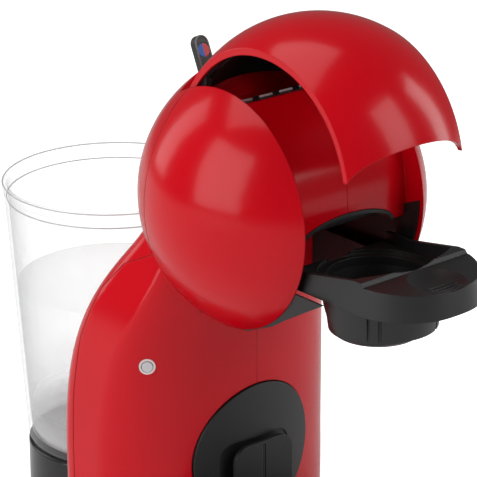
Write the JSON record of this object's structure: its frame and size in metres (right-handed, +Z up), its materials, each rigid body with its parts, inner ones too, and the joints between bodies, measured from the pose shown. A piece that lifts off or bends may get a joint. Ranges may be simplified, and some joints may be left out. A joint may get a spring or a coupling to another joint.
{
  "type": "pod coffee machine",
  "caption": "Round-headed pod coffee machine with swing-up lid, slide-out pod holder, selector lever, rear water tank and a height-adjusting drip tray.",
  "frame": {"origin": "on the table, under the middle of the machine with its lid open and pod holder out", "axes": "+Z up, -Y towards the front (pod holder), +X to the machine's left-hand viewer's right when looking along +Y"},
  "size_m": [0.14, 0.3096, 0.3006],
  "materials": {
    "gloss_red": "high gloss",
    "satin_black": "satin",
    "rubber_black": "matt",
    "zinc_steel": "zinc plated",
    "clear_tank": "clear moulded plastic",
    "white_plastic": "moulded",
    "steel": "stainless",
    "blue_mark": "gloss",
    "red_mark": "gloss",
    "button_white": "gloss",
    "button_ring": "translucent",
    "coil_copper": "moulded over winding",
    "cast_alloy": "cast",
    "board_green": "circuit board",
    "silicone_hose": "milky silicone"
  },
  "bodies": {
    "casing": {"left_shell": "gloss_red", "right_shell": "gloss_red", "rear_cover": "gloss_red", "base_plate": "satin_black", "feet": "rubber_black", "base_screws": "zinc_steel", "tank_dock": "satin_black", "dock_seal": "rubber_black", "left_guide": "satin_black", "right_guide": "satin_black", "injector_housing": "satin_black", "lock_frame": "satin_black", "lock_bar": "steel", "lever_spindle": "steel", "valve_block": "white_plastic", "light_ring": "button_ring", "power_switch": "satin_black", "disc_bearing": "satin_black", "pump": "white_plastic", "pump_coil": "coil_copper", "pump_mounts": "rubber_black", "pump_bracket": "satin_black", "thermoblock": "cast_alloy", "heater_bracket": "zinc_steel", "thermal_fuse": "white_plastic", "control_board": "board_green", "cord_inlet": "satin_black", "suction_hose": "silicone_hose", "pressure_hose": "silicone_hose", "hot_hose": "silicone_hose", "brew_hose": "silicone_hose"},
    "lid": {"lid_shell": "gloss_red", "hinge_arms": "satin_black", "hinge_pins": "steel"},
    "holder": {"holder_frame": "satin_black", "pod_basket": "satin_black", "pod_strainer": "steel"},
    "injector": {"injector_dome": "satin_black", "injector_needle": "steel", "injector_seal": "rubber_black"},
    "lever": {"selector_lever": "satin_black", "cold_mark": "blue_mark", "hot_mark": "red_mark"},
    "button": {"power_button": "button_white", "button_spring": "steel"},
    "tank": {"water_tank": "clear_tank", "tank_valve": "white_plastic"},
    "disc": {"tray_disc": "satin_black", "disc_clip": "satin_black"},
    "hook": {"tray_hook": "satin_black"},
    "tray": {"drip_tray": "satin_black"},
    "grid": {"drip_grid": "satin_black"}
  },
  "joints": [
    {"name": "lid_hinge", "type": "hinge", "parent": "casing", "child": "lid", "pos_m": [0, -0.0167, 0.2568], "axis": [1, 0, 0], "range_deg": [0, 39]},
    {"name": "holder_slide", "type": "slide", "parent": "casing", "child": "holder", "axis": [0, 1, 0], "range_m": [0, 0.0572]},
    {"name": "injector_press", "type": "slide", "parent": "casing", "child": "injector", "axis": [0, 0, -1], "range_m": [0, 0.0041]},
    {"name": "lever_turn", "type": "hinge", "parent": "casing", "child": "lever", "pos_m": [0, 0.0132, 0.2415], "axis": [0, -0.9135, 0.4067], "range_deg": [-20, 20]},
    {"name": "button_press", "type": "slide", "parent": "casing", "child": "button", "axis": [0.6216, 0.7834, 0], "range_m": [0, 0.0012], "stiffness_N_per_m": 300, "springref_m": -0.0005},
    {"name": "tank_lift", "type": "slide", "parent": "casing", "child": "tank", "axis": [0, 0, 1], "range_m": [0, 0.16]},
    {"name": "disc_turn", "type": "hinge", "parent": "casing", "child": "disc", "pos_m": [0, -0.0088, 0.0655], "axis": [0, -1, 0], "range_deg": [0, 180]},
    {"name": "hook_level", "type": "hinge", "parent": "disc", "child": "hook", "pos_m": [0, -0.0158, 0.0445], "axis": [0, -1, 0], "range_deg": [-180, 0]},
    {"name": "tray_lift", "type": "slide", "parent": "hook", "child": "tray", "axis": [0, 0, 1], "range_m": [0, 0.04]},
    {"name": "grid_lift", "type": "slide", "parent": "tray", "child": "grid", "axis": [0, 0, 1], "range_m": [0, 0.03]}
  ],
  "couplings": [
    {"joint": "holder_slide", "follows": "lid_hinge", "m_per_rad": 0.08374},
    {"joint": "injector_press", "follows": "lid_hinge", "m_per_rad": 0.005876},
    {"joint": "hook_level", "follows": "disc_turn", "ratio": -1}
  ]
}
